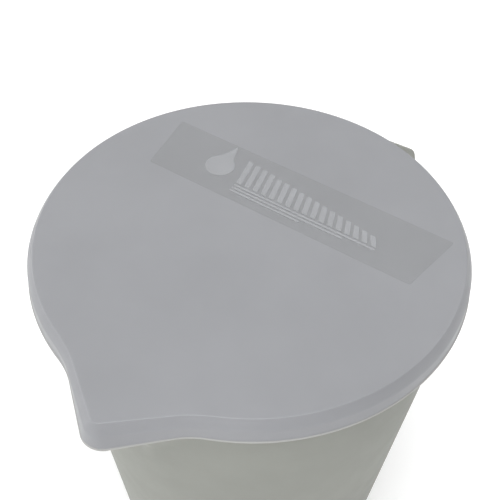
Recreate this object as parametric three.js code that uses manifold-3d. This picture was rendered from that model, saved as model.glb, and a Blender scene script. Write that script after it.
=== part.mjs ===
// An oil measuring jug of five litres, in millimetres with +Z up.
// The jug is one moulding: a tapered wall, a V-shaped pouring spout, a strap handle and raised scale
// marks. Its lid is a shallow cap with a cover for the spout, and it carries a clear film label.
// The origin is the centre of the base, on the surface that the jug stands on.
// +X points to the handle and -X to the spout.

import * as THREE from "three";
import { mergeVertices } from "three/addons/utils/BufferGeometryUtils.js";
import Module from "manifold-3d";

// Jug: base and wall
const jugHeight = 244.3;
const baseRadius = 74.5;
const baseEdgeRadius = 3;
const wallThickness = 2;
const floorThickness = 2.6;

// Jug: rim, whose circle is set forward of the wall's, toward the spout
const rimRadius = 101.6;
const rimForward = 4.3;
const rimBeadHeight = 5;
const rimBeadReach = 1.5;
const rimChamfer = 1.2;
const collarHeight = 10;
const collarStep = 3.8;

// Jug: spout. The apex is where the two flanks would meet if the nose were sharp.
const spoutReach = 122.2;
const spoutHalfAngle = 52;
const spoutNoseRadius = 6.8;
const spoutDepth = 63;

// Jug: handle, a strap of channel section that is open toward the wall
const handleTopDrop = 12.1;
const handleSlope = 40.2;
const handleReach = 172;
const handleLean = 4.5;
const handleFoot = 58;
const handleTopBend = 21;
const handleShoulderBend = 22;
const handleFootBend = 40;
const handleTopWidth = 46;
const handleFootWidth = 32;
const handleDepth = 11;
const handleWeb = 3;
const handleFlange = 3;
const handleRounding = 1.2;

// Jug: raised scale, with a long mark at each litre and a short one at each half
const scaleDirection = 78;
const scaleLitres = 5;
const scaleLongMark = 26;
const scaleShortMark = 13;
const scaleMarkHeight = 1.4;
const scaleMarkRelief = 0.5;

// Lid
const lidClearance = 0.3;
const lidWall = 1.4;
const lidSkirtHeight = 12.5;
const lidSkirtFlare = 0.4;
const lidShoulderRadius = 3.5;
const lidLipHeight = 1;
const lidLipReach = 0.4;
const lidSpoutFlare = 3.1;
const lidSpoutFootHalfAngle = 47.5;
const lidSpoutFootNoseRadius = 10;

// Label: a clear film on the lid, stuck on a little askew on the side of the handle
const labelLength = 146;
const labelWidth = 35;
const labelEndSlant = 9;
const labelThickness = 0.2;
const labelFromCentre = 14;
const labelSideways = -3.4;
const labelTurn = -2.8;

// Fineness of the curves, with the turns of a quarter round in degrees
const spoutSector = 52;
const spoutSteps = 36;
const roundSteps = 64;
const contourBlend = 3;
const pathSteps = 10;
const roundingSteps = 2;
const quarterTurns = [0, 30, 60, 90];
const smallestNose = 1;

// Two points that lie closer than this are one
const samePoint = 1e-4;
const cubicMillimetresPerLitre = 1e6;

const polypropylene = { color: 0xa6a7a9, roughness: 0.45, metalness: 0 };
const lidPolypropylene = { color: 0xa9aaac, roughness: 0.4, metalness: 0 };
const clearFilm = { color: 0x9fa0a2, roughness: 0.25, metalness: 0 };

const wasm = await Module();
wasm.setup();

const degrees = (angle) => THREE.MathUtils.degToRad(angle);
const mix = THREE.MathUtils.lerp;
const ease = THREE.MathUtils.smoothstep;

// A closed geometry as a solid for joining and cutting
function solidOf(geometry) {
  const bare = geometry.clone();
  bare.deleteAttribute("normal");
  bare.deleteAttribute("uv");
  const merged = mergeVertices(bare, samePoint);
  const corners = merged.index.array;
  const kept = [];
  for (let i = 0; i < corners.length; i += 3) {
    const [a, b, c] = [corners[i], corners[i + 1], corners[i + 2]];
    if (a !== b && b !== c && c !== a) kept.push(a, b, c);
  }
  return new wasm.Manifold(new wasm.Mesh({
    numProp: 3,
    vertProperties: new Float32Array(merged.attributes.position.array),
    triVerts: new Uint32Array(kept),
  }));
}

function geometryOf(solid) {
  const mesh = solid.getMesh();
  const geometry = new THREE.BufferGeometry();
  geometry.setAttribute("position", new THREE.BufferAttribute(new Float32Array(mesh.vertProperties), 3));
  geometry.setIndex(new THREE.BufferAttribute(new Uint32Array(mesh.triVerts), 1));
  geometry.computeVertexNormals();
  return geometry;
}

// Directions round the jug, counted from the spout, with close steps across the spout
function directionsRound() {
  const directions = [];
  for (let i = 0; i < spoutSteps; i += 1) {
    directions.push(-spoutSector / 2 + (spoutSector * i) / spoutSteps);
  }
  for (let i = 0; i <= roundSteps; i += 1) {
    directions.push(spoutSector / 2 + ((360 - spoutSector) * i) / roundSteps);
  }
  return directions.map(degrees);
}

// Distance to a wedge with a rounded nose, from a centre on its axis, in one direction
function wedgeDistance(direction, ring) {
  const half = degrees(ring.halfAngle);
  const noseCentre = ring.apex - ring.nose / Math.sin(half);
  const tangent = Math.atan2(ring.nose * Math.cos(half), noseCentre + ring.nose * Math.sin(half));
  if (Math.abs(direction) < tangent) {
    const offset = noseCentre * Math.sin(direction);
    return noseCentre * Math.cos(direction) + Math.sqrt(ring.nose ** 2 - offset ** 2);
  }
  return (ring.apex * Math.sin(half)) / Math.sin(half + Math.abs(direction));
}

// Distance to the outline of one ring: its circle, and the wedge of the spout where it has one
function outlineDistance(direction, ring) {
  const wrapped = Math.atan2(Math.sin(direction), Math.cos(direction));
  if (!ring.apex || ring.radius === 0 || Math.abs(wrapped) > degrees(spoutSector)) return ring.radius;
  const wedge = wedgeDistance(wrapped, ring);
  const overlap = Math.max(contourBlend - Math.abs(ring.radius - wedge), 0) / contourBlend;
  return Math.max(ring.radius, wedge) + (overlap ** 2 * contourBlend) / 4;
}

// A lathe whose rings follow the outline of the jug instead of a circle. Each ring has a height, a
// radius, the place of its centre and the wedge of the spout.
function contouredLathe(rings) {
  const directions = directionsRound();
  const profile = rings.map((ring) => new THREE.Vector2(ring.radius, ring.height));
  const lathe = new THREE.LatheGeometry(profile, directions.length - 1);
  const position = lathe.attributes.position;
  directions.forEach((direction, step) => {
    rings.forEach((ring, level) => {
      const distance = outlineDistance(direction, ring);
      const x = ring.centre - distance * Math.cos(direction);
      const y = -distance * Math.sin(direction);
      position.setXYZ(step * rings.length + level, x, y, ring.height);
    });
  });
  return solidOf(lathe);
}

// Heights that both the wall and what follows it are measured from
const rimFoot = jugHeight - rimBeadHeight;
const collarFoot = rimFoot - collarHeight;
const spoutFoot = jugHeight - spoutDepth;
const collarFootRadius = rimRadius - collarStep;
const wallSlope = (collarFootRadius - baseRadius) / collarFoot;
const flankShare = 1 / Math.sin(degrees(spoutHalfAngle));

// How far the wall's circle has moved out and forward to the rim, from 0 to 1
const collarShare = (height) => ease(height, collarFoot, rimFoot);

function wallRadius(height) {
  const straight = baseRadius + wallSlope * Math.min(height, collarFoot);
  return mix(straight, rimRadius - rimBeadReach, collarShare(height));
}

function wallCentre(height) {
  return -rimForward * collarShare(height);
}

// The spout's apex, counted from the centre of the wall's circle at the same height
function spoutApex(height) {
  const foot = baseRadius + wallSlope * spoutFoot;
  const rim = spoutReach + rimForward - rimBeadReach * flankShare;
  const share = Math.min((height - spoutFoot) / (rimFoot - spoutFoot), 1);
  return mix(foot, rim, share) + wallCentre(height);
}

// One ring of the wall, grown outward from its outer face, or inward where grow is below 0
function wallRing(height, grow) {
  const ring = { height, radius: wallRadius(height) + grow, centre: wallCentre(height) };
  if (height >= spoutFoot) {
    ring.apex = spoutApex(height) + grow * flankShare;
    ring.halfAngle = spoutHalfAngle;
    ring.nose = Math.max(spoutNoseRadius + grow, smallestNose);
  }
  return ring;
}

const axisPoint = (height, centre) => ({ height, radius: 0, centre });

function wallHeights(lowest) {
  const heights = [lowest];
  const spoutLevels = 5;
  const collarLevels = 5;
  for (let i = 0; i < spoutLevels; i += 1) heights.push(mix(spoutFoot, collarFoot, i / spoutLevels));
  for (let i = 0; i <= collarLevels; i += 1) heights.push(mix(collarFoot, rimFoot, i / collarLevels));
  return heights;
}

// The outside of the base, wall and spout, up to the rim's bead
function outerWall(grow) {
  const rings = [axisPoint(0, 0)];
  for (const turn of quarterTurns.slice(0, -1)) {
    const inset = baseEdgeRadius * (1 - Math.sin(degrees(turn)));
    const height = baseEdgeRadius * (1 - Math.cos(degrees(turn)));
    rings.push({ height, radius: baseRadius - inset + grow, centre: 0 });
  }
  for (const height of wallHeights(baseEdgeRadius)) rings.push(wallRing(height, grow));
  rings.push(axisPoint(rimFoot, -rimForward));
  return contouredLathe(rings);
}

// A ring of the rim's outside, set in from its widest by a chamfer
function rimRing(height, inset) {
  return {
    height,
    radius: rimRadius - inset,
    centre: -rimForward,
    apex: spoutReach - inset * flankShare,
    halfAngle: spoutHalfAngle,
    nose: Math.max(spoutNoseRadius - inset, smallestNose),
  };
}

function rimBead() {
  return contouredLathe([
    axisPoint(rimFoot - rimBeadReach / 2, -rimForward),
    rimRing(rimFoot - rimBeadReach / 2, rimBeadReach + wallThickness / 2),
    rimRing(rimFoot, rimBeadReach),
    rimRing(rimFoot + rimBeadReach / 2, 0),
    rimRing(jugHeight - rimChamfer, 0),
    rimRing(jugHeight, rimChamfer),
    axisPoint(jugHeight, -rimForward),
  ]);
}

// The space inside the jug, which passes out through the mouth
function inside() {
  const above = jugHeight + wallThickness;
  const rings = [axisPoint(floorThickness, 0)];
  for (const height of wallHeights(floorThickness)) rings.push(wallRing(height, -wallThickness));
  rings.push({ ...wallRing(rimFoot, -wallThickness), height: above });
  rings.push(axisPoint(above, -rimForward));
  return contouredLathe(rings);
}

// The outer face of the handle from its root under the rim to its root low on the wall, as points
// in the plane of the handle: x away from the jug and y up
function handlePath() {
  const top = jugHeight - handleTopDrop;
  const rise = Math.tan(degrees(handleSlope));
  const lean = Math.tan(degrees(handleLean));
  const topCorner = new THREE.Vector2(rimRadius - rimForward + handleTopBend / 2, top);
  const shoulder = new THREE.Vector2(handleReach, top - rise * (handleReach - topCorner.x));
  const heel = new THREE.Vector2(handleReach - lean * (shoulder.y - handleFoot), handleFoot);
  const slopeWay = shoulder.clone().sub(topCorner).normalize();
  const gripWay = heel.clone().sub(shoulder).normalize();
  const along = (point, way, distance) => point.clone().addScaledVector(way, distance);
  const slopeStart = along(topCorner, slopeWay, handleTopBend / 2);
  const slopeEnd = along(shoulder, slopeWay, -handleShoulderBend);
  const gripStart = along(shoulder, gripWay, handleShoulderBend);
  const gripEnd = along(heel, gripWay, -handleFootBend);
  const path = new THREE.Path();
  path.moveTo(rimRadius - rimForward - wallThickness - rimBeadReach, top);
  path.lineTo(topCorner.x - handleTopBend / 2, top);
  path.quadraticCurveTo(topCorner.x, topCorner.y, slopeStart.x, slopeStart.y);
  path.lineTo(slopeEnd.x, slopeEnd.y);
  path.quadraticCurveTo(shoulder.x, shoulder.y, gripStart.x, gripStart.y);
  path.lineTo(gripEnd.x, gripEnd.y);
  path.quadraticCurveTo(heel.x, heel.y, heel.x - handleFootBend, heel.y);
  path.lineTo(wallRadius(handleFoot) - wallThickness, handleFoot);
  return path.getPoints(pathSteps);
}

// The handle's path moved in from its outer face
function insetPath(points, inset) {
  return points.map((point, i) => {
    const before = points[Math.max(i - 1, 0)];
    const after = points[Math.min(i + 1, points.length - 1)];
    const way = after.clone().sub(before).normalize();
    return new THREE.Vector2(point.x + way.y * inset, point.y - way.x * inset);
  });
}

// A band of the handle between two insets, across its whole width less a margin on both sides
function handleBand(outerInset, innerInset, margin, rounding) {
  const path = handlePath();
  const coreHalf = 1;
  const outline = [
    ...insetPath(path, outerInset + rounding),
    ...insetPath(path, innerInset - rounding).reverse(),
  ];
  const geometry = new THREE.ExtrudeGeometry(new THREE.Shape(outline), {
    depth: 2 * coreHalf,
    bevelEnabled: rounding > 0,
    bevelThickness: rounding,
    bevelSize: rounding,
    bevelSegments: roundingSteps,
  });
  geometry.translate(0, 0, -coreHalf);
  geometry.rotateX(Math.PI / 2);
  const position = geometry.attributes.position;
  for (let i = 0; i < position.count; i += 1) {
    const share = (position.getZ(i) - handleFoot) / (jugHeight - handleTopDrop - handleFoot);
    const half = mix(handleFootWidth, handleTopWidth, THREE.MathUtils.clamp(share, 0, 1)) / 2 - margin;
    const y = position.getY(i);
    position.setY(i, y + Math.sign(y) * (half - coreHalf - rounding));
  }
  return solidOf(geometry);
}

function handle() {
  const strap = handleBand(0, handleDepth, 0, handleRounding);
  const channel = handleBand(handleWeb, handleDepth + handleWeb, handleFlange, 0);
  return strap.subtract(channel);
}

// The height at which the inside holds a volume in litres
function fillHeight(litres) {
  const floorRadius = baseRadius + wallSlope * floorThickness - wallThickness;
  const cube = floorRadius ** 3 + (3 * wallSlope * litres * cubicMillimetresPerLitre) / Math.PI;
  return floorThickness + (Math.cbrt(cube) - floorRadius) / wallSlope;
}

// Raised marks on the wall, which all start at one upright line
function scaleMarks() {
  let bars = null;
  for (let half = 1; half <= 2 * scaleLitres; half += 1) {
    const length = half % 2 === 0 ? scaleLongMark : scaleShortMark;
    const bar = new THREE.BoxGeometry(rimRadius, length, scaleMarkHeight);
    bar.translate(rimRadius, length / 2, fillHeight(half / 2));
    bar.rotateZ(degrees(scaleDirection));
    bars = bars ? bars.add(solidOf(bar)) : solidOf(bar);
  }
  return outerWall(scaleMarkRelief).intersect(bars);
}

function jugBody() {
  const outside = outerWall(0).add(rimBead()).add(handle()).add(scaleMarks());
  return geometryOf(outside.subtract(inside()));
}

// Places of the lid, from the rim that it fits over
const lidUnderside = jugHeight + lidClearance;
const lidTop = lidUnderside + lidWall;
const lidRadius = rimRadius + lidClearance + lidWall;
const lidApex = spoutReach + (lidClearance + lidWall) * flankShare;
const lidSpoutNose = spoutNoseRadius + lidClearance + lidWall;
const skirtFoot = lidTop - lidSkirtHeight;

// A ring of the lid's outside, grown from its upper outline or drawn in where grow is below 0
function lidRing(height, grow) {
  return {
    height,
    radius: lidRadius + grow,
    centre: -rimForward,
    apex: lidApex + grow * flankShare,
    halfAngle: spoutHalfAngle,
    nose: Math.max(lidSpoutNose + grow, smallestNose),
  };
}

// A ring of the skirt, which flares from under the shoulder to its foot, most of all at the spout
function skirtRing(height, grow) {
  const share = (lidTop - lidShoulderRadius - height) / (lidSkirtHeight - lidShoulderRadius);
  return {
    height,
    radius: lidRadius + lidSkirtFlare * share + grow,
    centre: -rimForward,
    apex: lidApex + lidSpoutFlare * share + grow * flankShare,
    halfAngle: mix(spoutHalfAngle, lidSpoutFootHalfAngle, share),
    nose: Math.max(mix(lidSpoutNose, lidSpoutFootNoseRadius, share) + grow, smallestNose),
  };
}

function lid() {
  const chamferShare = Math.tan(degrees(45) / 2);
  const insideCorner = lidWall + rimChamfer - lidClearance * chamferShare;
  const rings = [
    axisPoint(lidUnderside, -rimForward),
    lidRing(lidUnderside, -insideCorner),
    lidRing(jugHeight - rimChamfer + lidClearance * chamferShare, -lidWall),
    skirtRing(skirtFoot, -lidWall),
    skirtRing(skirtFoot, lidLipReach),
    skirtRing(skirtFoot + lidLipHeight, lidLipReach),
    skirtRing(skirtFoot + lidLipHeight + lidLipReach, 0),
  ];
  for (const turn of quarterTurns) {
    const drop = lidShoulderRadius * (1 - Math.sin(degrees(turn)));
    rings.push(lidRing(lidTop - drop, lidShoulderRadius * (Math.cos(degrees(turn)) - 1)));
  }
  rings.push(axisPoint(lidTop, -rimForward));
  return geometryOf(contouredLathe(rings));
}

// The film's near edge is the shorter one, and its ends slant outward from it
function label() {
  const half = labelLength / 2;
  const farHalf = half + labelWidth * Math.tan(degrees(labelEndSlant));
  const outline = new THREE.Shape();
  outline.moveTo(0, -half);
  outline.lineTo(labelWidth, -farHalf);
  outline.lineTo(labelWidth, farHalf);
  outline.lineTo(0, half);
  const film = new THREE.ExtrudeGeometry(outline, { depth: labelThickness, bevelEnabled: false });
  film.rotateZ(degrees(labelTurn));
  film.translate(labelFromCentre - rimForward, labelSideways, lidTop);
  return film;
}

function piece(name, geometry, look) {
  const mesh = new THREE.Mesh(geometry, new THREE.MeshStandardMaterial(look));
  mesh.name = name;
  return mesh;
}

const jug = new THREE.Group();
jug.add(piece("jug_body", jugBody(), polypropylene));
jug.add(piece("lid", lid(), lidPolypropylene));
jug.add(piece("lid_label", label(), clearFilm));

export default jug;
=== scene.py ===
"""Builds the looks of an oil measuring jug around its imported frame: the translucent jug with its
spout, handle and raised scale, the lid that covers the spout, and the clear label on the lid.

Everything is in metres, in the frame of the part: +Z up, +X to the handle, -X to the spout, with the
origin at the centre of the base.
"""

import math
from typing import NamedTuple

import bmesh
import bpy
from mathutils import Matrix, Vector


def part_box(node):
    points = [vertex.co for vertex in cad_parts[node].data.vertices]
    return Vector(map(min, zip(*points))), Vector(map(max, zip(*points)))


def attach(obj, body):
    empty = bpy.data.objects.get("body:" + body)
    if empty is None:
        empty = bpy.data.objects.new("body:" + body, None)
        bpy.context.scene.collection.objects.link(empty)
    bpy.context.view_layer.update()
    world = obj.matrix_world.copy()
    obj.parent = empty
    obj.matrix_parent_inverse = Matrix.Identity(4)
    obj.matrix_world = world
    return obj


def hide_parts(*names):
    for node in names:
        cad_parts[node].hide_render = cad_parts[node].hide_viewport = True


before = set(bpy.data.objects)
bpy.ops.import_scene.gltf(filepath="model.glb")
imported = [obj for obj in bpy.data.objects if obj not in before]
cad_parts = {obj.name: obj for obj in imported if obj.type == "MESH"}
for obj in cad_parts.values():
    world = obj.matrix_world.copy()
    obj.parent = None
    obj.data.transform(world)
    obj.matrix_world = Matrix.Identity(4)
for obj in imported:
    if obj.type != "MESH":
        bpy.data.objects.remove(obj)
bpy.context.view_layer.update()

bl_info = {
    "name": "Oil measuring jug",
    "version": (1, 0, 0),
    "blender": (4, 5, 0),
    "location": "3D View > Sidebar > Jug",
    "description": "Builds a translucent measuring jug with its lid, scale, label and stage",
    "category": "Add Mesh",
}

JUG_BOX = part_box("jug_body")
LID_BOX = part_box("lid")
LABEL_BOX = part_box("lid_label")

MM = 0.001
LITRE = 0.001

# How finely the walls are divided: steps round the outline, how much they crowd together at the
# spout, and steps up the plain wall, the wall with the spout, and the collar
STEPS_ROUND = 420
CROWDING = 0.62
WALL_STEP = 14 * MM
SPOUT_STEP = 3.5 * MM
COLLAR_STEP = 1.25 * MM

# The direction from the spout's axis beyond which its flanks are no longer followed
WIDEST_FLANK = math.radians(52)

# Two faces of the jug that meet at more than this angle, in degrees, have a sharp edge
SHARP_ANGLE = 38

# How deep the marks and numbers of the scale are rooted in the wall
SCALE_ROOT = 0.4 * MM


# Settings that a user would change

def length(name, description, millimetres):
    return bpy.props.FloatProperty(
        name=name, description=description, default=millimetres * MM, unit="LENGTH", precision=5)


def angle(name, description, degrees):
    return bpy.props.FloatProperty(
        name=name, description=description, default=math.radians(degrees), unit="ROTATION")


def share(name, description, default):
    return bpy.props.FloatProperty(
        name=name, description=description, default=default, subtype="FACTOR")


def colour(name, description, default):
    return bpy.props.FloatVectorProperty(
        name=name, description=description, default=default, subtype="COLOR", size=3)


class JUG_PG_wall(bpy.types.PropertyGroup):
    """Sizes of the jug's base, wall and rim"""
    base_radius: length("Base radius", "Outer radius of the base", 74.5)
    base_edge: length("Base edge", "Rounding under the base's edge", 3)
    thickness: length("Wall", "Thickness of the wall", 2)
    floor: length("Floor", "Thickness of the floor", 2.6)
    rim_radius: length("Rim radius", "Outer radius of the rim's bead", 101.6)
    rim_forward: length("Rim forward", "How far the rim's circle is set toward the spout", 4.3)
    bead_height: length("Bead height", "Height of the bead on the rim", 5)
    bead_reach: length("Bead reach", "How far the bead stands out", 1.5)
    rim_rounding: length("Rim rounding", "Rounding of the rim's outer edge", 1.2)
    collar_height: length("Collar height", "Height in which the wall moves out to the rim", 10)
    collar_step: length("Collar step", "How far the wall under the collar is inside the bead", 3.8)


class JUG_PG_spout(bpy.types.PropertyGroup):
    """Sizes of the pouring spout"""
    reach: length("Reach", "Where the spout's flanks would meet, from the rim's centre", 122.2)
    half_angle: angle("Half angle", "Angle between a flank and the spout's axis", 52)
    nose: length("Nose", "Rounding where the flanks meet", 6.8)
    depth: length("Depth", "How far the spout reaches down the wall", 63)
    blend: length("Blend", "Width of the soft fold between the flank and the round wall", 3)


class JUG_PG_handle(bpy.types.PropertyGroup):
    """Path and section of the strap handle"""
    top_drop: length("Top drop", "Height of the rim over the handle's top", 12.1)
    slope: angle("Slope", "Slope of the arm that runs down to the grip", 40.2)
    reach: length("Reach", "Where the slope and the grip would meet, from the base's centre", 172)
    lean: angle("Lean", "Lean of the grip toward the jug", 4.5)
    foot: length("Foot", "Height of the handle's lower arm", 58)
    top_bend: length("Top bend", "Length of the bend under the rim", 21)
    shoulder_bend: length("Shoulder bend", "Length of each half of the upper bend", 22)
    foot_bend: length("Foot bend", "Length of each half of the lower bend", 40)
    top_width: length("Top width", "Width of the strap at the rim", 46)
    foot_width: length("Foot width", "Width of the strap at its foot", 32)
    depth: length("Depth", "Depth of the strap's channel section", 11)
    web: length("Web", "Thickness of the strap's outer face", 3)
    flange: length("Flange", "Thickness of the strap's sides", 3)
    rounding: length("Rounding", "Rounding of the strap's edges", 1.4)


class JUG_PG_scale(bpy.types.PropertyGroup):
    """Place and sizes of the raised scale"""
    direction: angle("Direction", "Where the scale starts, counted from the handle", 78)
    litres: bpy.props.IntProperty(name="Litres", description="Highest whole litre", default=5)
    long_mark: length("Long mark", "Length of a mark at a whole litre", 26)
    short_mark: length("Short mark", "Length of a mark at a half litre", 13)
    mark_height: length("Mark height", "Height of each raised mark", 1.4)
    relief: length("Relief", "How far marks and numbers stand out", 0.45)
    number_height: length("Number height", "Height of the numbers", 9)
    number_gap: length("Number gap", "Distance from the short marks' ends to the numbers", 3)


class JUG_PG_lid(bpy.types.PropertyGroup):
    """Sizes of the lid, its skirt and its cover for the spout"""
    clearance: length("Clearance", "Gap between the lid and the rim", 0.3)
    wall: length("Wall", "Thickness of the lid", 1.4)
    flare: length("Flare", "How much the skirt widens to its foot", 0.4)
    shoulder: length("Shoulder", "Rounding between the top and the skirt", 3.5)
    panel_inset: length("Panel inset", "Distance from the skirt to the edge of the top", 2.6)
    panel_slope: length("Panel slope", "Height of the slope between the top's edge and the skirt", 4.2)
    panel_rounding: length("Panel rounding", "Rounding of the top's edge", 0.6)
    spout_inset: length("Spout inset", "How much farther in the top's edge lies over the spout", 0.4)
    spout_sharpening: length("Spout sharpening", "How much sharper the top's nose is", 2)
    lip_height: length("Lip height", "Height of the lip along the skirt's foot", 1)
    lip_reach: length("Lip reach", "How far the lip stands out", 0.4)
    spout_flare: length("Spout flare", "How much the spout's cover widens to its foot", 3.1)
    foot_half_angle: angle("Foot half angle", "Angle of the cover's flanks at its foot", 47.5)
    foot_nose: length("Foot nose", "Rounding of the cover's nose at its foot", 10)


class JUG_PG_label(bpy.types.PropertyGroup):
    """Sizes and place of the label on the lid"""
    length: length("Length", "Length of the label's near edge", 146)
    width: length("Width", "Width of the label", 35)
    corner: length("Corner", "Rounding of the label's corners", 1.2)
    slant: angle("Slant", "How far the ends slant outward", 9)
    from_centre: length("From centre", "Distance of the near edge from the lid's centre", 14)
    sideways: length("Sideways", "Offset of the label along its length", -3.4)
    turn: angle("Turn", "How far the label is stuck on askew", -2.8)


class JUG_PG_finish(bpy.types.PropertyGroup):
    """Colours of the pieces, and how they let light through"""
    lid_colour: colour("Lid colour", "Colour of the lid", (0.258, 0.262, 0.275))
    # Painted light: the lid's thin lip is given a paler colour than the lid, a painted highlight for the
    # bright line of light along the skirt's foot
    lip_colour: colour("Lip colour", "Colour of the lid's thin lip", (0.335, 0.334, 0.325))
    jug_colour: colour("Jug colour", "Colour of the jug", (0.258, 0.264, 0.241))
    film_colour: colour("Film colour", "Tint of the clear label", (0.300, 0.309, 0.303))
    film_cover: share("Film cover", "How much of the lid the clear film hides", 0.07)
    print_colour: colour("Print colour", "Colour of the print on the label", (0.50, 0.51, 0.53))
    print_cover: share("Print cover", "How much of the film the print hides", 0.32)
    lid_depth: length("Lid light depth", "How far light travels inside the lid", 1.6)
    jug_depth: length("Jug light depth", "How far light travels inside the wall", 4)


class JUG_PG_stage(bpy.types.PropertyGroup):
    """Place of the camera and strength of the lights"""
    azimuth: angle("Azimuth", "Direction of the camera round the jug, 0 looks along +Y", -60.4)
    elevation: angle("Elevation", "Height of the camera over the horizon", 45.94)
    distance: length("Distance", "Distance from the camera to the lid's centre", 421.3)
    pitch: angle("Pitch", "Turn of the camera up from the lid's centre", -0.886)
    roll: angle("Roll", "Turn of the camera about its line of sight", -1.55)
    lens: bpy.props.FloatProperty(
        name="Lens", description="Focal length", default=64.8, unit="CAMERA")
    bright_side: bpy.props.FloatProperty(
        name="Bright side", description="Light from the camera's left", default=1.4)
    dim_side: bpy.props.FloatProperty(
        name="Dim side", description="Light from the camera's right", default=0.2)
    floor_glow: bpy.props.FloatProperty(
        name="Floor glow", description="Light that the floor gives off", default=0.15)


# Where the jug's surfaces run

class Ring(NamedTuple):
    """One ring of a wall: its height, its circle, and the wedge of the spout counted from the
    circle's centre. An apex of 0 means that there is no spout at that height."""
    height: float
    radius: float
    centre: float
    apex: float = 0.0
    half_angle: float = 1.0
    nose: float = 0.0


def mix(a, b, part):
    """A value between two others"""
    return a + (b - a) * part


def part_of(value, start, end):
    """How far a value has come from start to end, from 0 to 1"""
    return min(max((value - start) / (end - start), 0.0), 1.0)


def ease(part):
    """The same part with a soft start and a soft end"""
    return part * part * (3 - 2 * part)


class Wall:
    """The jug's outer face as a rule of the height, from the sizes of the wall and the spout"""

    def __init__(self, sizes, spout):
        self.sizes, self.spout = sizes, spout
        self.top = JUG_BOX[1].z
        self.rim_foot = self.top - sizes.bead_height
        self.collar_foot = self.rim_foot - sizes.collar_height
        self.spout_foot = self.top - spout.depth
        under_collar = sizes.rim_radius - sizes.collar_step
        self.slope = (under_collar - sizes.base_radius) / self.collar_foot
        self.flank = 1 / math.sin(spout.half_angle)

    def collar(self, height):
        """How far the collar has moved the wall out to the rim"""
        return ease(part_of(height, self.collar_foot, self.rim_foot))

    def radius(self, height):
        straight = self.sizes.base_radius + self.slope * min(height, self.collar_foot)
        return mix(straight, self.sizes.rim_radius - self.sizes.bead_reach, self.collar(height))

    def centre(self, height):
        return -self.sizes.rim_forward * self.collar(height)

    def apex(self, height):
        low = self.sizes.base_radius + self.slope * self.spout_foot
        high = self.spout.reach + self.sizes.rim_forward - self.sizes.bead_reach * self.flank
        return mix(low, high, part_of(height, self.spout_foot, self.rim_foot)) + self.centre(height)

    def ring(self, height, grow=0.0):
        """A ring that stands out from the outer face by grow, or lies inside it if grow is below 0"""
        radius = self.radius(height) + grow
        if height < self.spout_foot:
            return Ring(height, radius, self.centre(height))
        nose = max(self.spout.nose + grow, MM)
        apex = self.apex(height) + grow * self.flank
        return Ring(height, radius, self.centre(height), apex, self.spout.half_angle, nose)

    def rise(self, low, high):
        """Heights from low to high, close together where the spout and the collar bend"""
        heights, height = [], low
        while height < high:
            heights.append(height)
            if height < self.spout_foot:
                height += WALL_STEP
            elif height < self.collar_foot:
                height += SPOUT_STEP
            else:
                height += COLLAR_STEP
        return heights + [high]


def arc(centre, radius, start, end, steps=5):
    """Points on an arc in the plane of a section, as (grow, height), with angles in degrees"""
    turns = [math.radians(mix(start, end, i / steps)) for i in range(steps + 1)]
    return [(centre[0] + radius * math.cos(t), centre[1] + radius * math.sin(t)) for t in turns]


def smooth_curve(start, corner, end, steps=12):
    """Points on a quadratic curve that bends from start toward a corner and on to end"""
    parts = [i / steps for i in range(steps + 1)]
    return [start * (1 - t) ** 2 + corner * (2 * t * (1 - t)) + end * t ** 2 for t in parts]


def straight(start, end, steps):
    """Points between start and end, without the two"""
    return [start.lerp(end, i / steps) for i in range(1, steps)]


def jug_rings(sizes, wall):
    """The section of the jug from the middle of its underside, up the outside, over the rim and down
    the inside to the middle of its floor"""
    edge, top, thickness = sizes.base_edge, wall.top, sizes.thickness
    base_margin, floor_margin = 1.5 * MM, 2 * MM
    rings = [Ring(0, 0, 0), Ring(0, sizes.base_radius - edge - base_margin, 0)]
    for grow, height in arc((-edge, edge), edge, -90, 0, 6):
        rings.append(Ring(height, sizes.base_radius + wall.slope * height + grow, 0))

    bead_edge, bead_lift, inner_edge = 0.5 * MM, 1.1 * MM, 0.6 * MM
    reach, rounding = sizes.bead_reach, sizes.rim_rounding
    rings += [wall.ring(h) for h in wall.rise(edge + MM, wall.rim_foot - bead_edge)]
    under = arc((reach - bead_edge, wall.rim_foot + bead_lift), bead_edge, -60, 0, 4)
    over = arc((reach - rounding, top - rounding), rounding, 0, 90, 6)
    inner = arc((-thickness + inner_edge, top - inner_edge), inner_edge, 90, 180, 4)
    rings += [wall.ring(height, grow) for grow, height in under + over + inner]

    fillet, floor = 3 * MM, sizes.floor
    descent = wall.rise(floor + fillet + MM, top - 2 * inner_edge)
    rings += [wall.ring(h, -thickness) for h in reversed(descent)]
    for grow, height in arc((-fillet, floor + fillet), fillet, 0, -90, 6):
        rings.append(Ring(height, sizes.base_radius + wall.slope * height - thickness + grow, 0))
    rings += [Ring(floor, sizes.base_radius - thickness - fillet - floor_margin, 0)]
    return [*rings, Ring(floor, 0, 0)]


def wall_core_rings(sizes, wall):
    """A solid whose face runs inside the wall's thickness, which trims the handle's roots"""
    heights = wall.rise(sizes.floor, wall.top)
    return [Ring(heights[0], 0, 0), *[wall.ring(h, -sizes.thickness / 2) for h in heights],
            Ring(wall.top, 0, wall.centre(wall.top))]


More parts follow.
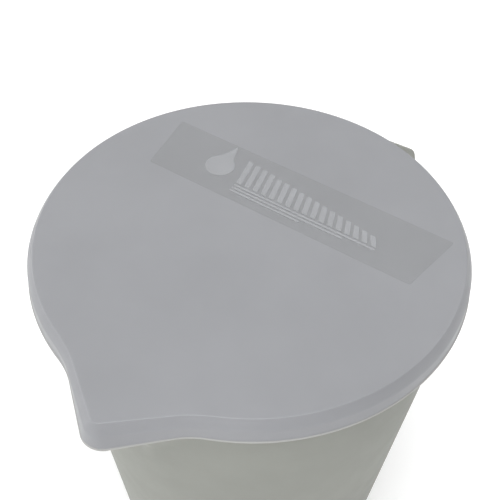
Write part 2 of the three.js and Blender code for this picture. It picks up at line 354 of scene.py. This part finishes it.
def lid_rings(lid, sizes, spout):
    """The section of the lid from the middle of its underside to the middle of its top"""
    top, foot, underside = LID_BOX[1].z, LID_BOX[0].z, LID_BOX[1].z - lid.wall
    skirt_top, lip_top, centre = top - lid.shoulder, foot + lid.lip_height, -sizes.rim_forward
    flank = 1 / math.sin(spout.half_angle)
    radius = sizes.rim_radius + lid.clearance + lid.wall
    apex = spout.reach + (lid.clearance + lid.wall) * flank
    nose = spout.nose + lid.clearance + lid.wall

    def ring(grow, height, top_share=0.0):
        part = part_of(height, skirt_top, foot)
        return Ring(
            height, radius + lid.flare * part + grow, centre,
            apex + lid.spout_flare * part + grow * flank - lid.spout_inset * top_share,
            mix(spout.half_angle, lid.foot_half_angle, part),
            max(mix(nose, lid.foot_nose, part) + grow - lid.spout_sharpening * top_share, MM))

    def outer_ring(grow, height):
        return ring(grow, height, part_of(height, lip_top, top))

    # The underside, the skirt's inside and foot, and the lip
    corner, edge, bead = lid.shoulder - lid.wall, 0.2 * MM, lid.lip_height / 2
    flat_margin, run_in = 2 * MM, 0.1 * MM
    panel_start = -lid.shoulder - flat_margin
    inside = [(panel_start, underside)]
    inside += arc((-lid.shoulder, skirt_top), corner, 90, 0, 5)
    inside += [(-lid.wall, mix(skirt_top, foot, i / 5)) for i in range(1, 5)]
    inside += arc((-lid.wall + edge, foot + edge), edge, 180, 270, 3)
    inside += arc((lid.lip_reach - bead, foot + bead), bead, -90, 80, 8)

    # The skirt, the slope that bows in to the top's edge, the edge's rounding, and the top
    inset, rounding = lid.panel_inset, lid.panel_rounding
    slope_foot = Vector((0, top - rounding - lid.panel_slope))
    slope_top = Vector((-inset + run_in, top - rounding))
    bow_in, bow_up, edge_angle = 0.35, 0.55, 24
    bow = Vector((-bow_in * inset, mix(slope_foot.y, slope_top.y, bow_up)))
    outside = [(0, mix(lip_top + lid.lip_reach, slope_foot.y, i / 6)) for i in range(6)]
    outside += smooth_curve(slope_foot, bow, slope_top, 8)
    outside += arc((-inset - rounding, top - rounding), rounding, edge_angle, 90, 7)
    outside += [(-inset - 2 * rounding, top), (panel_start, top)]
    rings = [ring(*point) for point in inside] + [outer_ring(*point) for point in outside]
    return [Ring(underside, 0, centre), *rings, Ring(top, 0, centre)]


def fill_height(litres, sizes, wall):
    """The height at which the inside holds a volume. The inside is a cone cut off at the floor, so the
    cube of its radius grows evenly with the volume."""
    low = sizes.base_radius + wall.slope * sizes.floor - sizes.thickness
    cube = low ** 3 + 3 * wall.slope * litres * LITRE / math.pi
    return sizes.floor + (cube ** (1 / 3) - low) / wall.slope


# Node trees

class Term:
    """A number in a node tree, so that a rule for a shape can be written as a formula"""

    def __init__(self, tree, socket):
        self.tree, self.socket = tree, socket

    def math(self, operation, *others):
        node = self.tree.nodes.new("ShaderNodeMath")
        node.operation = operation
        for slot, value in zip(node.inputs, (self, *others)):
            plug(self.tree, slot, value)
        return Term(self.tree, node.outputs[0])

    def __add__(self, other):
        return self.math("ADD", other)

    def __sub__(self, other):
        return self.math("SUBTRACT", other)

    def __mul__(self, other):
        return self.math("MULTIPLY", other)

    def __truediv__(self, other):
        return self.math("DIVIDE", other)

    def sin(self):
        return self.math("SINE")

    def cos(self):
        return self.math("COSINE")

    def root(self):
        return self.math("SQRT")

    def size(self):
        return self.math("ABSOLUTE")

    def above(self, other):
        return self.math("GREATER_THAN", other)

    def highest(self, other):
        return self.math("MAXIMUM", other)

    def lowest(self, other):
        return self.math("MINIMUM", other)


def plug(tree, socket, value):
    """Joins a socket to a term or another socket, or gives it a plain value"""
    if isinstance(value, Term):
        tree.links.new(value.socket, socket)
    elif isinstance(value, bpy.types.NodeSocket):
        tree.links.new(value, socket)
    else:
        socket.default_value = value


def wire(tree, node, values):
    """Plugs values into a node's inputs by name"""
    for name, value in values.items():
        plug(tree, next(s for s in node.inputs if s.name == name and s.enabled), value)
    return node


def add_node(tree, kind, values=None, **settings):
    """A node with its settings, and with values for its inputs by name"""
    node = tree.nodes.new(kind)
    for name, value in settings.items():
        setattr(node, name, value)
    return wire(tree, node, values or {})


def output(node, name=None):
    """A node's output by name, or its first one"""
    return next(s for s in node.outputs if s.enabled and (name is None or s.name == name))


def new_tree(name, inputs):
    """A geometry tree with a geometry in, a geometry out and named inputs of given kinds"""
    tree = bpy.data.node_groups.new(name, "GeometryNodeTree")
    tree.interface.new_socket("Geometry", in_out="INPUT", socket_type="NodeSocketGeometry")
    for label, kind in inputs:
        tree.interface.new_socket(label, in_out="INPUT", socket_type=kind)
    tree.interface.new_socket("Geometry", in_out="OUTPUT", socket_type="NodeSocketGeometry")
    return tree, tree.nodes.new("NodeGroupInput")


def end_tree(tree, given, geometry):
    """Ends a tree: merged doubles, smooth faces, real geometry and a material"""
    merged = add_node(tree, "GeometryNodeMergeByDistance", {"Geometry": geometry, "Distance": 0.01 * MM})
    smooth = add_node(tree, "GeometryNodeSetShadeSmooth", {"Geometry": output(merged)})
    real = add_node(tree, "GeometryNodeRealizeInstances", {"Geometry": output(smooth)})
    dressed = add_node(tree, "GeometryNodeSetMaterial",
                       {"Geometry": output(real), "Material": given.outputs["Material"]})
    add_node(tree, "NodeGroupOutput", {"Geometry": output(dressed)})
    return tree


def carried(tree, name):
    """A number that each point carries as an attribute"""
    named = add_node(tree, "GeometryNodeInputNamedAttribute", {"Name": name}, data_type="FLOAT")
    return output(named, "Attribute")


def coordinates(tree):
    """The X, Y and Z of each point, as terms"""
    position = add_node(tree, "GeometryNodeInputPosition")
    parts = add_node(tree, "ShaderNodeSeparateXYZ", {"Vector": output(position)})
    return [Term(tree, parts.outputs[axis]) for axis in "XYZ"]


def moved(tree, geometry, x, y, z):
    """The same geometry with each point at new coordinates"""
    point = add_node(tree, "ShaderNodeCombineXYZ", {"X": x, "Y": y, "Z": z})
    return output(add_node(
        tree, "GeometryNodeSetPosition", {"Geometry": geometry, "Position": output(point)}))


def lathe_tree():
    """Turns a section into a closed wall that follows the jug's outline, a circle with the wedge of
    the spout. Each point of the section carries the sizes of its ring as attributes."""
    tree, given = new_tree("Contoured lathe", [
        ("Steps Round", "NodeSocketInt"), ("Crowding", "NodeSocketFloat"),
        ("Blend", "NodeSocketFloat"), ("Widest Flank", "NodeSocketFloat"),
        ("Material", "NodeSocketMaterial")])
    section = given.outputs["Geometry"]
    counted = add_node(tree, "GeometryNodeAttributeDomainSize", {"Geometry": section})
    rows = Term(tree, counted.outputs["Point Count"])
    grid = add_node(tree, "GeometryNodeMeshGrid", {
        "Size X": 1.0, "Size Y": 1.0, "Vertices X": given.outputs["Steps Round"], "Vertices Y": rows})
    across, up, _ = coordinates(tree)
    row = ((up + 0.5) * (rows - 1)).math("ROUND")

    def of_ring(name):
        found = add_node(tree, "GeometryNodeSampleIndex", {
            "Geometry": section, "Value": carried(tree, name), "Index": row}, data_type="FLOAT")
        return Term(tree, output(found))

    # The direction is counted from the spout. The wedge is a straight flank, or the nose's arc where
    # the direction is nearer to the spout's axis than the point at which they touch.
    height, radius, centre, apex, half, nose = (of_ring(name) for name in Ring._fields)
    turn = across * (2 * math.pi)
    direction = turn - turn.sin() * given.outputs["Crowding"]
    side = direction.size().lowest(given.outputs["Widest Flank"])
    nose_centre = apex - nose / half.sin()
    tangent = (nose * half.cos()).math("ARCTAN2", nose_centre + nose * half.sin())
    flank = apex * half.sin() / (half + side).sin()
    offset = nose_centre * direction.sin()
    front = nose_centre * direction.cos() + (nose * nose - offset * offset).highest(0.0).root()
    wedge = flank + (front - flank) * tangent.above(side)

    # The outline is the farther of the circle and the wedge, with a soft fold where they cross. A
    # ring without a radius stays a point.
    blend = Term(tree, given.outputs["Blend"])
    overlap = (blend - (radius - wedge).size()).highest(0.0) / blend
    fold = overlap * overlap * blend * 0.25
    reach = (radius.highest(wedge) + fold) * radius.above(1e-6)
    wall = moved(tree, output(grid, "Mesh"),
                 centre - reach * direction.cos(), reach * direction.sin() * -1.0, height)
    return end_tree(tree, given, wall)


def marks_tree():
    """Sets a raised bar at each point of a scale and bends it round the wall. Each point carries the
    length of its mark."""
    tree, given = new_tree("Scale marks", [
        ("Direction", "NodeSocketFloat"), ("Base Radius", "NodeSocketFloat"),
        ("Slope", "NodeSocketFloat"), ("Mark Height", "NodeSocketFloat"),
        ("Relief", "NodeSocketFloat"), ("Root", "NodeSocketFloat"), ("Material", "NodeSocketMaterial")])
    bar = add_node(tree, "GeometryNodeMeshCube", {
        "Size": (1.0, 1.0, 1.0), "Vertices X": 3, "Vertices Y": 25, "Vertices Z": 5})
    size = add_node(tree, "ShaderNodeCombineXYZ", {
        "X": 1.0, "Y": carried(tree, "mark_length"), "Z": given.outputs["Mark Height"]})
    bars = add_node(tree, "GeometryNodeInstanceOnPoints", {
        "Points": given.outputs["Geometry"], "Instance": output(bar, "Mesh"), "Scale": output(size)})
    real = add_node(tree, "GeometryNodeRealizeInstances", {"Geometry": output(bars)})
    out, along, height = coordinates(tree)
    radius = height * given.outputs["Slope"] + given.outputs["Base Radius"]
    relief, root = (Term(tree, given.outputs[name]) for name in ("Relief", "Root"))
    reach = radius + (out + 0.5) * (relief + root) - root
    direction = along / radius + given.outputs["Direction"]
    bent = moved(tree, output(real), reach * direction.cos(), reach * direction.sin(), height)
    return end_tree(tree, given, bent)


def grown(name, points, edges, attributes, tree, values):
    """A plain mesh object from a node tree that grows from points with attributes"""
    mesh = bpy.data.meshes.new(name)
    mesh.from_pydata(points, edges, [])
    for label, numbers in attributes.items():
        mesh.attributes.new(label, "FLOAT", "POINT").data.foreach_set("value", numbers)
    source = bpy.data.objects.new(name + "_source", mesh)
    bpy.context.scene.collection.objects.link(source)
    modifier = source.modifiers.new("Grow", "NODES")
    modifier.node_group = tree
    for item in tree.interface.items_tree:
        if item.item_type == "SOCKET" and item.in_out == "INPUT" and item.name in values:
            modifier[item.identifier] = values[item.name]
    evaluated = source.evaluated_get(bpy.context.evaluated_depsgraph_get())
    plain = bpy.data.meshes.new_from_object(evaluated)
    bpy.data.objects.remove(source)
    plain.name = name
    for label in attributes:
        if label in plain.attributes:
            plain.attributes.remove(plain.attributes[label])
    return place(name, plain)


def turned(name, rings, spout, tree, material):
    """A closed wall from its rings, by the contoured lathe"""
    points = [(ring.radius, 0, ring.height) for ring in rings]
    edges = [(i, i + 1) for i in range(len(rings) - 1)]
    attributes = {field: [getattr(ring, field) for ring in rings] for field in Ring._fields}
    return grown(name, points, edges, attributes, tree, {
        "Steps Round": STEPS_ROUND + 1, "Crowding": CROWDING, "Blend": spout.blend,
        "Widest Flank": WIDEST_FLANK, "Material": material})


# Mesh helpers

def place(name, mesh):
    """A piece with a mesh, at the origin"""
    piece = bpy.data.objects.new(name, mesh)
    bpy.context.scene.collection.objects.link(piece)
    return piece


def finished(name, shape):
    """Makes a piece from a bmesh, and frees the bmesh"""
    mesh = bpy.data.meshes.new(name)
    shape.to_mesh(mesh)
    shape.free()
    return place(name, mesh)


def dress(piece, material, body):
    """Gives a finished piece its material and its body"""
    piece.data.materials.clear()
    piece.data.materials.append(material)
    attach(piece, body)


def combine(piece, other, operation):
    """Joins another piece to one, or cuts it away, and removes the other"""
    modifier = piece.modifiers.new("Combine", "BOOLEAN")
    modifier.operation, modifier.object, modifier.solver = operation, other, "EXACT"
    evaluated = piece.evaluated_get(bpy.context.evaluated_depsgraph_get())
    mesh = bpy.data.meshes.new_from_object(evaluated)
    piece.modifiers.remove(modifier)
    piece.data = mesh
    bpy.data.objects.remove(other)
    return piece


def crease(piece, degrees):
    """Smooth faces, with a sharp edge only where two faces meet at more than an angle"""
    shape = bmesh.new()
    shape.from_mesh(piece.data)
    bmesh.ops.remove_doubles(shape, verts=shape.verts, dist=0.002 * MM)
    for face in shape.faces:
        face.smooth = True
    for edge in shape.edges:
        edge.smooth = edge.calc_face_angle(0.0) < math.radians(degrees)
    shape.to_mesh(piece.data)
    shape.free()


def band(shape, first, second):
    """Joins two loops of a bmesh with a band of faces"""
    for i in range(len(first)):
        j = (i + 1) % len(first)
        shape.faces.new((first[i], first[j], second[j], second[i]))


def flat_plate(shape, outline, low, high):
    """A thin plate of an outline in the plane of the lid's top, added to a bmesh"""
    under, over = [[shape.verts.new((x, y, z)) for x, y in outline] for z in (low, high)]
    band(shape, under, over)
    shape.faces.new(under[::-1])
    shape.faces.new(over)


def round_corners(corners, radius):
    """An outline whose corners are rounded, from its corners in order"""
    outline = []
    for i, corner in enumerate(corners):
        before = (corners[i - 1] - corner).normalized()
        after = (corners[(i + 1) % len(corners)] - corner).normalized()
        outline += smooth_curve(corner + before * radius, corner, corner + after * radius, 5)
    return outline


def handle_path(handle, sizes, wall):
    """The outer face of the handle in its own plane, from its root under the rim to its foot"""
    top = wall.top - handle.top_drop
    root = sizes.rim_radius - sizes.rim_forward
    corner = Vector((root + handle.top_bend / 2, top))
    run = handle.reach - corner.x
    shoulder = Vector((handle.reach, top - math.tan(handle.slope) * run))
    drop = shoulder.y - handle.foot
    heel = Vector((handle.reach - math.tan(handle.lean) * drop, handle.foot))
    slope_way, grip_way = (shoulder - corner).normalized(), (heel - shoulder).normalized()
    start = Vector((root - sizes.thickness - sizes.bead_reach, top))
    bend_start = corner - Vector((handle.top_bend / 2, 0))
    slope_start = corner + slope_way * handle.top_bend / 2
    slope_end = shoulder - slope_way * handle.shoulder_bend
    grip_start = shoulder + grip_way * handle.shoulder_bend
    grip_end = heel - grip_way * handle.foot_bend
    foot_start = heel - Vector((handle.foot_bend, 0))
    end = Vector((wall.radius(handle.foot) - sizes.thickness, handle.foot))
    return [start, *straight(start, bend_start, 3),
            *smooth_curve(bend_start, corner, slope_start), *straight(slope_start, slope_end, 6),
            *smooth_curve(slope_end, shoulder, grip_start), *straight(grip_start, grip_end, 10),
            *smooth_curve(grip_end, heel, foot_start), *straight(foot_start, end, 6), end]


def strap_section(handle):
    """The strap's channel section round its outline. Each point has the side that it belongs to, its
    distance from that side's outer face along Y, and its depth under the strap's outer face."""
    r, web, flange, depth = handle.rounding, handle.web, handle.flange, handle.depth
    tip = flange / 2
    outline = []
    for side in (1, -1):
        half = []
        half += [(side * (-r + x), r - y) for x, y in arc((0, 0), r, 90, 0, 5)]
        half += [(side * (-tip + x), depth - tip - y) for x, y in arc((0, 0), tip, 0, -180, 8)]
        half += [(side * (-flange - r - x), web + r - y) for x, y in arc((0, 0), r, 180, 90, 4)]
        outline.append([(side, margin, down) for margin, down in half])
    return outline[0] + outline[1][::-1]


def handle_strap(handle, sizes, wall):
    """The handle: its channel section carried along its path, wide at the rim and narrow below"""
    path = handle_path(handle, sizes, wall)
    section = strap_section(handle)
    top = wall.top - handle.top_drop
    shape = bmesh.new()
    loops = []
    for i, point in enumerate(path):
        way = (path[min(i + 1, len(path) - 1)] - path[max(i - 1, 0)]).normalized()
        inward = Vector((way.y, -way.x))
        loop = []
        for side, margin, depth in section:
            spot = point + inward * depth
            width = mix(handle.foot_width, handle.top_width, part_of(spot.y, handle.foot, top))
            loop.append(shape.verts.new((spot.x, side * width / 2 + margin, spot.y)))
        loops.append(loop)
    for first, second in zip(loops, loops[1:]):
        band(shape, first, second)
    for loop in (loops[0], loops[-1]):
        shape.faces.new(loop)
    bmesh.ops.recalc_face_normals(shape, faces=shape.faces)
    return finished("jug_handle", shape)


def raised_number(text, height, wall, scale):
    """A number bent round the wall, with its middle at a height and its left edge beside the marks"""
    type_size_per_height = 1.4
    curve = bpy.data.curves.new("number", "FONT")
    curve.body, curve.size, curve.align_y = text, scale.number_height * type_size_per_height, "CENTER"
    curve.extrude, curve.resolution_u = (scale.relief + SCALE_ROOT) / 2, 6
    font = bpy.data.objects.new("number", curve)
    bpy.context.scene.collection.objects.link(font)
    mesh = bpy.data.meshes.new_from_object(font.evaluated_get(bpy.context.evaluated_depsgraph_get()))
    bpy.data.objects.remove(font)
    left = scale.short_mark + scale.number_gap
    for vertex in mesh.vertices:
        rise = height + vertex.co.y
        radius = wall.radius(rise)
        direction = scale.direction + (left + vertex.co.x) / radius
        reach = radius + vertex.co.z + (scale.relief - SCALE_ROOT) / 2
        vertex.co = (reach * math.cos(direction), reach * math.sin(direction), rise)
    return mesh


def plain_print(label):
    """A plain design for the label, as outlines in its plane: a drop of oil, a row of leaning bars
    that get shorter, and thin stripes under them. Across is x, along is y."""
    middle = label.width / 2
    drop_at, drop_radius, drop_tip = 42 * MM, 7.5 * MM, 16.5 * MM
    foot, start = middle - 6 * MM, drop_at - 14 * MM

    def bar(low, high, start, width, lean):
        return [(low, start), (high, start + lean), (high, start + lean - width), (low, start - width)]

    turns = [math.radians(mix(-60, 240, i / 30)) for i in range(31)]
    drop = [(middle - drop_radius * math.sin(t), drop_at + drop_radius * math.cos(t)) for t in turns]
    outlines = [[(middle + drop_tip, drop_at), *reversed(drop)]]

    bars, spacing, width, lean = 17, 4.7 * MM, 2.8 * MM, 3.5 * MM
    tallest, shortest = 17 * MM, 6 * MM
    for i in range(bars):
        high = foot + mix(tallest, shortest, i / (bars - 1))
        outlines.append(bar(foot, high, start - i * spacing, width, lean))

    stripe_gap, stripe_spacing, stripe_height, stripe_lean = 2.2 * MM, 2.1 * MM, 1.1 * MM, 0.2 * MM
    for i, stripe_length in enumerate((78 * MM, 62 * MM, 40 * MM)):
        low = foot - stripe_gap - i * stripe_spacing
        outlines.append(bar(low, low + stripe_height, start, stripe_length, stripe_lean))
    return outlines


# Materials

def new_material(name):
    """A material with its tree, its shader and the object coordinates"""
    material = bpy.data.materials.new(name)
    material.use_nodes = True
    tree = material.node_tree
    shader = next(n for n in tree.nodes if n.type == "BSDF_PRINCIPLED")
    return material, tree, shader, add_node(tree, "ShaderNodeTexCoord").outputs["Object"]


def noise(tree, spot, per_metre, detail=2, roughness=0.55):
    """A soft pattern from 0 to 1"""
    return output(add_node(tree, "ShaderNodeTexNoise", {
        "Vector": spot, "Scale": per_metre, "Detail": detail, "Roughness": roughness}), "Fac")


def ramp(tree, value, low, high, part_low=0.35, part_high=0.65):
    """Spreads a value between two numbers or two colours"""
    spread = add_node(tree, "ShaderNodeMapRange", {
        "Value": value, "From Min": part_low, "From Max": part_high})
    if isinstance(low, tuple):
        mixed = add_node(tree, "ShaderNodeMix", {
            "Factor": output(spread, "Result"), "A": low, "B": high}, data_type="RGBA")
        return output(mixed, "Result")
    return output(wire(tree, spread, {"To Min": low, "To Max": high}), "Result")


def tint(base, factor=1.0):
    """A colour made darker or lighter, as red, green, blue and alpha"""
    return (*[c * factor for c in base], 1.0)


def mottled(tree, pattern, base, spread):
    """A colour that a pattern makes a little darker and lighter than its base"""
    return ramp(tree, pattern, tint(base, 1 - spread), tint(base, 1 + spread))


def bumps(tree, pattern, strength, height, under=None):
    """A surface that rises by a height where a pattern is 1, on top of other bumps"""
    values = {"Strength": strength, "Distance": height, "Height": pattern}
    if under:
        values["Normal"] = under
    return output(add_node(tree, "ShaderNodeBump", values))


def polypropylene(name, base, depth, gloss, shine, painted_edge_light=None):
    """Natural polypropylene: cloudy, satin and a little translucent. Gloss is the lowest and highest
    roughness, shine the strength of its reflections. A painted edge light, a paler colour painted on to
    stand in for the light that a thin edge lets through, is given as its colour and the two heights
    between which that colour fades to the base."""
    material, tree, shader, spot = new_material(name)
    plastic = mottled(tree, noise(tree, spot, per_metre=14, detail=4), base, spread=0.035)
    # Painted light: below the low height the colour is the paler edge colour, fading to the base by the
    # high one, a painted highlight for the light that the thin edge lets through
    if painted_edge_light:
        painted_light_colour, low, high = painted_edge_light
        height = add_node(tree, "ShaderNodeSeparateXYZ", {"Vector": spot}).outputs["Z"]
        plastic = ramp(tree, height, tint(painted_light_colour), plastic, low, high)
    haze = noise(tree, spot, per_metre=60, detail=5, roughness=0.6)
    grain = bumps(tree, noise(tree, spot, per_metre=2600), strength=0.12, height=0.05 * MM)
    waves = bumps(tree, noise(tree, spot, per_metre=22), strength=0.35, height=0.8 * MM, under=grain)
    wire(tree, shader, {
        "Base Color": plastic, "Roughness": ramp(tree, haze, *gloss), "Normal": waves,
        "IOR": 1.49, "Specular IOR Level": shine, "Subsurface Weight": 0.4,
        "Subsurface Radius": (1.0, 1.0, 0.95), "Subsurface Scale": depth})
    return material


def clear_film(name, base, cover, roughness):
    """A film that lets the lid show through and has its own gloss"""
    material, tree, shader, spot = new_material(name)
    mottle = noise(tree, spot, per_metre=90, detail=3)
    roughness_spread = 0.04
    ripples = bumps(tree, noise(tree, spot, per_metre=140), strength=0.2, height=0.1 * MM)
    wire(tree, shader, {
        "Base Color": mottled(tree, mottle, base, spread=0.03),
        "Roughness": ramp(tree, mottle, roughness - roughness_spread, roughness + roughness_spread),
        "Normal": ripples, "IOR": 1.47, "Alpha": cover})
    return material


def pale_paper(name, glow):
    """The floor's paper: matt, nearly white, and giving off a little light"""
    material, tree, shader, spot = new_material(name)
    white, darkest, lightest = (1.0, 1.0, 1.0), 0.93, 0.96
    paper = ramp(tree, noise(tree, spot, per_metre=3), tint(white, darkest), tint(white, lightest))
    wire(tree, shader, {
        "Base Color": paper, "Roughness": 0.9, "Emission Color": tint(white), "Emission Strength": glow})
    return material


# Operators: one for each piece or group of like pieces, and one for the stage

class JUG_OT_body(bpy.types.Operator):
    """Makes the jug's one moulding: wall, base, rim, spout and handle"""
    bl_idname = "jug.body"
    bl_label = "Jug body"

    def execute(self, context):
        scene = context.scene
        sizes, spout, finish = scene.jug_wall, scene.jug_spout, scene.jug_finish
        wall = Wall(sizes, spout)
        plastic = polypropylene(
            "jug_polypropylene", finish.jug_colour, finish.jug_depth, gloss=(0.54, 0.64), shine=0.1)
        tree = lathe_tree()
        body = turned("jug_moulding", jug_rings(sizes, wall), spout, tree, plastic)
        core = turned("jug_core", wall_core_rings(sizes, wall), spout, tree, plastic)
        strap = combine(handle_strap(scene.jug_handle, sizes, wall), core, "DIFFERENCE")
        combine(body, strap, "UNION")
        dress(body, plastic, "jug")
        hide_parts("jug_body")
        return {"FINISHED"}


class JUG_OT_scale(bpy.types.Operator):
    """Moulds the raised marks and numbers of the scale into the jug's wall"""
    bl_idname = "jug.scale"
    bl_label = "Scale"

    def execute(self, context):
        scene = context.scene
        sizes, scale = scene.jug_wall, scene.jug_scale
        wall = Wall(sizes, scene.jug_spout)
        halves = range(1, 2 * scale.litres + 1)
        lengths = [scale.short_mark if half % 2 else scale.long_mark for half in halves]
        points = [(0, long / 2, fill_height(half / 2, sizes, wall)) for half, long in zip(halves, lengths)]
        marks = grown("scale_marks", points, [], {"mark_length": lengths}, marks_tree(), {
            "Direction": scale.direction, "Base Radius": sizes.base_radius, "Slope": wall.slope,
            "Mark Height": scale.mark_height, "Relief": scale.relief, "Root": SCALE_ROOT,
            "Material": bpy.data.materials["jug_polypropylene"]})
        shape = bmesh.new()
        for litre in range(1, scale.litres + 1):
            height = fill_height(litre, sizes, wall) - scale.number_height
            shape.from_mesh(raised_number(str(litre), height, wall, scale))
        bmesh.ops.remove_doubles(shape, verts=shape.verts, dist=0.001 * MM)
        body = bpy.data.objects["jug_moulding"]
        combine(body, marks, "UNION")
        combine(body, finished("scale_numbers", shape), "UNION")
        crease(body, SHARP_ANGLE)
        return {"FINISHED"}


class JUG_OT_lid(bpy.types.Operator):
    """Makes the lid with its skirt and its cover for the spout"""
    bl_idname = "jug.lid"
    bl_label = "Lid"

    def execute(self, context):
        scene = context.scene
        finish, spout = scene.jug_finish, scene.jug_spout
        # The lip below lip_top is painted paler than the lid: a painted highlight for the bright line of
        # light along the skirt's foot
        lip_top = LID_BOX[0].z + scene.jug_lid.lip_height
        fade_under, fade_over = 0.2 * MM, 0.3 * MM
        plastic = polypropylene(
            "lid_polypropylene", finish.lid_colour, finish.lid_depth, gloss=(0.36, 0.44), shine=0.35,
            painted_edge_light=(finish.lip_colour, lip_top - fade_under, lip_top + fade_over))
        rings = lid_rings(scene.jug_lid, scene.jug_wall, spout)
        lid = turned("lid_cap", rings, spout, bpy.data.node_groups["Contoured lathe"], plastic)
        dress(lid, plastic, "lid")
        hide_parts("lid")
        return {"FINISHED"}


class JUG_OT_label(bpy.types.Operator):
    """Makes the clear label on the lid and its plain print"""
    bl_idname = "jug.label"
    bl_label = "Label"

    def execute(self, context):
        scene = context.scene
        label, finish = scene.jug_label, scene.jug_finish
        low, high = LABEL_BOX[0].z, LABEL_BOX[1].z
        film_margin, print_thickness = 0.03 * MM, 0.025 * MM
        turn = Matrix.Rotation(label.turn, 2)
        origin = Vector((label.from_centre - scene.jug_wall.rim_forward, label.sideways))

        def on_label(across, along):
            return turn @ Vector((across, along)) + origin

        half = label.length / 2
        far = half + label.width * math.tan(label.slant)
        corners = [(0, -half), (label.width, -far), (label.width, far), (0, half)]
        outline = round_corners([on_label(*corner) for corner in corners], label.corner)
        shape = bmesh.new()
        flat_plate(shape, outline, low + film_margin, high - film_margin)
        film = finished("label_film", shape)
        clear = clear_film("clear_film", finish.film_colour, finish.film_cover, roughness=0.3)
        dress(film, clear, "lid")
        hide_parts("lid_label")

        shape = bmesh.new()
        for outline in plain_print(label):
            flat_plate(shape, [on_label(*point) for point in outline], high - print_thickness, high)
        bmesh.ops.recalc_face_normals(shape, faces=shape.faces)
        ink = clear_film("label_ink", finish.print_colour, finish.print_cover, roughness=0.4)
        dress(finished("label_print", shape), ink, "lid")
        return {"FINISHED"}


class JUG_OT_stage(bpy.types.Operator):
    """Makes the floor, the soft lights and the camera"""
    bl_idname = "jug.stage"
    bl_label = "Stage"

    def execute(self, context):
        scene = context.scene
        wide_floor(scene.jug_stage)
        soft_walls(scene)
        soft_light("top_light", spot=(-0.35, -0.3, 1.8), side=0.9, power=17)
        soft_light("front_light", spot=(-0.95, -0.55, 1.35), side=0.5, power=2.5)
        scene.view_settings.view_transform = "Standard"
        aimed_camera(scene)
        return {"FINISHED"}


def wide_floor(stage):
    """The pale floor that the jug stands on"""
    side = 6.0
    mesh = bpy.data.meshes.new("floor")
    corners = [(-side, -side, 0), (side, -side, 0), (side, side, 0), (-side, side, 0)]
    mesh.from_pydata(corners, [], [(0, 1, 2, 3)])
    floor = place("floor", mesh)
    floor.data.materials.append(pale_paper("floor_paper", stage.floor_glow))


def soft_walls(scene):
    """Lights the stage from all round, brighter on the camera's left and dimmer on its right"""
    world = bpy.data.worlds.new("studio")
    scene.world = world
    world.use_nodes = True
    tree, stage = world.node_tree, scene.jug_stage
    sky = add_node(tree, "ShaderNodeTexCoord")
    facing = add_node(
        tree, "ShaderNodeVectorMath", {"Vector": sky.outputs["Generated"]}, operation="DOT_PRODUCT")
    facing.inputs[1].default_value = (-math.cos(stage.azimuth), -math.sin(stage.azimuth), 0)
    strength = add_node(tree, "ShaderNodeMapRange", {
        "Value": facing.outputs["Value"], "From Min": -1.0, "From Max": 1.0,
        "To Min": stage.dim_side, "To Max": stage.bright_side})
    wire(tree, tree.nodes["Background"], {
        "Color": (1.0, 1.0, 1.0, 1.0), "Strength": output(strength, "Result")})


def soft_light(name, spot, side, power):
    """A large square light that looks at the middle of the jug"""
    data = bpy.data.lights.new(name, "AREA")
    data.size, data.energy = side, power
    light = bpy.data.objects.new(name, data)
    bpy.context.scene.collection.objects.link(light)
    light.location = spot
    jug_middle = Vector((0, 0, 0.15))
    light.rotation_euler = (jug_middle - Vector(spot)).to_track_quat("-Z", "Y").to_euler()


def aimed_camera(scene):
    """Sets the camera at the photograph's angle, aimed near the middle of the lid"""
    stage = scene.jug_stage
    azimuth, elevation = stage.azimuth, stage.elevation
    back = Vector((math.sin(azimuth) * math.cos(elevation),
                   -math.cos(azimuth) * math.cos(elevation), math.sin(elevation)))
    target = Vector((-scene.jug_wall.rim_forward, 0, LID_BOX[1].z - MM))
    right = Vector((math.cos(azimuth), math.sin(azimuth), 0))
    upright = Matrix((right, back.cross(right), back)).transposed()
    turned_up = upright @ Matrix.Rotation(stage.pitch, 3, "X")
    rolled = turned_up @ Matrix.Rotation(-stage.roll, 3, "Z")
    data = bpy.data.cameras.new("camera")
    data.lens, data.sensor_width, data.clip_start = stage.lens, 36.0, 10 * MM
    camera = bpy.data.objects.new("camera", data)
    scene.collection.objects.link(camera)
    camera.matrix_world = Matrix.Translation(target + back * stage.distance) @ rolled.to_4x4()
    scene.camera = camera


OPERATORS = (JUG_OT_body, JUG_OT_scale, JUG_OT_lid, JUG_OT_label, JUG_OT_stage)
SETTINGS = {
    "jug_wall": JUG_PG_wall, "jug_spout": JUG_PG_spout, "jug_handle": JUG_PG_handle,
    "jug_scale": JUG_PG_scale, "jug_lid": JUG_PG_lid, "jug_label": JUG_PG_label,
    "jug_finish": JUG_PG_finish, "jug_stage": JUG_PG_stage,
}


class JUG_PT_panel(bpy.types.Panel):
    """Lists the jug's pieces and their sizes in the sidebar"""
    bl_idname = "JUG_PT_panel"
    bl_label = "Oil measuring jug"
    bl_space_type = "VIEW_3D"
    bl_region_type = "UI"
    bl_category = "Jug"

    def draw(self, context):
        for operator in OPERATORS:
            self.layout.operator(operator.bl_idname)
        for name in SETTINGS:
            box = self.layout.box()
            group = getattr(context.scene, name)
            box.label(text=name.replace("_", " "))
            for label in group.__annotations__:
                box.prop(group, label)


CLASSES = (*SETTINGS.values(), *OPERATORS, JUG_PT_panel)


def register():
    for group in CLASSES:
        bpy.utils.register_class(group)
    for name, group in SETTINGS.items():
        setattr(bpy.types.Scene, name, bpy.props.PointerProperty(type=group))


def unregister():
    for name in SETTINGS:
        delattr(bpy.types.Scene, name)
    for group in reversed(CLASSES):
        bpy.utils.unregister_class(group)


def main():
    """Registers the classes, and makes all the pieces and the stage"""
    register()
    bpy.ops.jug.body()
    bpy.ops.jug.scale()
    bpy.ops.jug.lid()
    bpy.ops.jug.label()
    bpy.ops.jug.stage()


if __name__ == "__main__":
    main()
